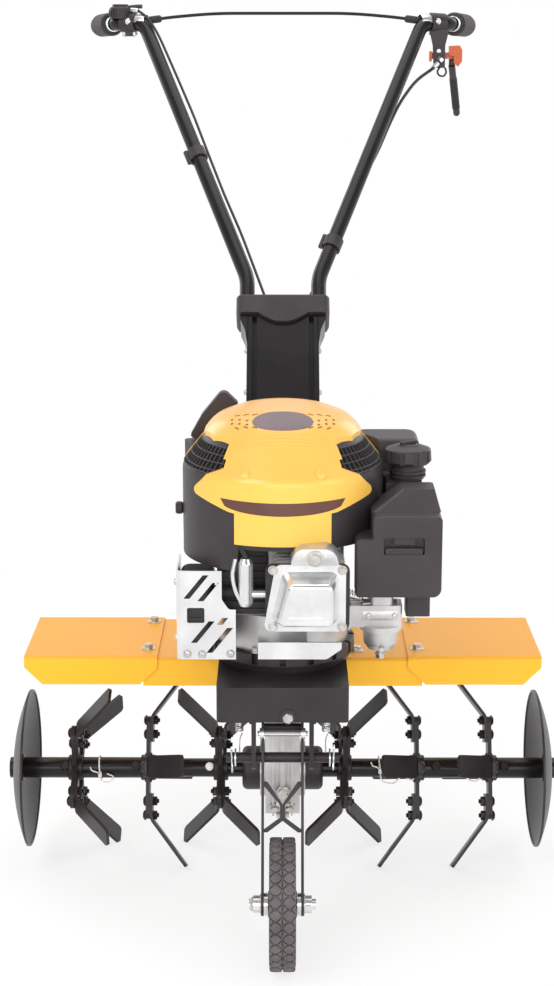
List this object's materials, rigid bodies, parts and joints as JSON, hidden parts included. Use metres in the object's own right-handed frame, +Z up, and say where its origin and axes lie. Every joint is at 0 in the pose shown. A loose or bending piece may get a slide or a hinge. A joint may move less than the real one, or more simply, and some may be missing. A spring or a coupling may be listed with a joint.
{
  "type": "garden tiller",
  "caption": "Petrol garden tiller with a vertical-shaft engine, tine rotor under fenders, folding front transport wheel, handle column and two handlebars.",
  "frame": {"origin": "on the floor, at the centre of the overall box", "axes": "+Z up, +Y towards the handles at the back, the front wheel is at -Y, +X to the air filter side"},
  "size_m": [0.706, 1.3407, 1.095],
  "materials": {
    "black_steel": "semi-gloss powder coat",
    "orange_yellow_paint": "gloss enamel on sheet steel",
    "yellow_plastic": "gloss moulded",
    "orange_plastic": "moulded",
    "black_plastic": "fine moulded grain",
    "front_tyre_rubber": "lugged rubber",
    "grey_rubber": "soft ribbed",
    "cast_aluminium": "as cast",
    "black_casting": "black paint on a casting",
    "bright_steel": "zinc plated",
    "dark_steel": "heat resistant coating"
  },
  "bodies": {
    "chassis": {"air_filter_base": "black_plastic", "blower_housing": "black_plastic", "cable_clip_left": "black_plastic", "cable_clip_right": "black_plastic", "carburettor": "cast_aluminium", "clutch_bracket": "black_plastic", "clutch_cable": "black_plastic", "clutch_catch": "orange_plastic", "clutch_lever": "black_plastic", "column_cap": "black_plastic", "column_shell": "black_steel", "cross_rod": "black_steel", "cylinder_head": "cast_aluminium", "engine_block": "cast_aluminium", "engine_flange": "black_casting", "engine_hood": "yellow_plastic", "fender_left_inner": "orange_yellow_paint", "fender_left_outer": "orange_yellow_paint", "fender_right_inner": "orange_yellow_paint", "fender_right_outer": "orange_yellow_paint", "frame_box": "black_steel", "frame_spring_left": "bright_steel", "frame_spring_right": "bright_steel", "fuel_cap": "black_plastic", "fuel_tank": "black_plastic", "gearbox_case": "cast_aluminium", "grip_left": "grey_rubber", "grip_right": "grey_rubber", "handle_left": "black_steel", "handle_right": "black_steel", "heat_plate": "bright_steel", "muffler": "dark_steel", "muffler_guard": "bright_steel", "pivot_rod": "black_steel", "rear_hitch": "black_steel", "recoil_handle": "black_plastic", "shaft_shield_left": "black_plastic", "shaft_shield_right": "black_plastic", "spark_plug": "bright_steel", "throttle_cable": "black_plastic", "throttle_control": "black_plastic", "valve_cover": "bright_steel"},
    "air_filter_lid": {"air_filter_cover": "black_plastic"},
    "wheel_bracket": {"bracket_arms": "black_steel", "wheel_axle": "bright_steel"},
    "front_wheel": {"front_tyre": "front_tyre_rubber", "front_rim": "black_plastic"},
    "tine_rotor": {"disc_left": "black_steel", "disc_right": "black_steel", "rotor_shaft": "black_steel", "tine_set_left_inner": "black_steel", "tine_set_left_mid": "black_steel", "tine_set_left_outer": "black_steel", "tine_set_right_inner": "black_steel", "tine_set_right_mid": "black_steel", "tine_set_right_outer": "black_steel"}
  },
  "joints": [
    {"name": "bracket_fold", "type": "hinge", "parent": "chassis", "child": "wheel_bracket", "pos_m": [0, -0.52935, 0.23], "axis": [-1, 0, 0], "range_deg": [0, 95]},
    {"name": "wheel_spin", "type": "hinge", "parent": "wheel_bracket", "child": "front_wheel", "pos_m": [0, -0.59435, 0.076], "axis": [1, 0, 0], "continuous": true},
    {"name": "rotor_spin", "type": "hinge", "parent": "chassis", "child": "tine_rotor", "pos_m": [0, -0.28935, 0.12174], "axis": [1, 0, 0], "continuous": true},
    {"name": "filter_lid_hinge", "type": "hinge", "parent": "chassis", "child": "air_filter_lid", "pos_m": [0.131, -0.51735, 0.426], "axis": [1, 0, 0], "range_deg": [0, 80]}
  ]
}
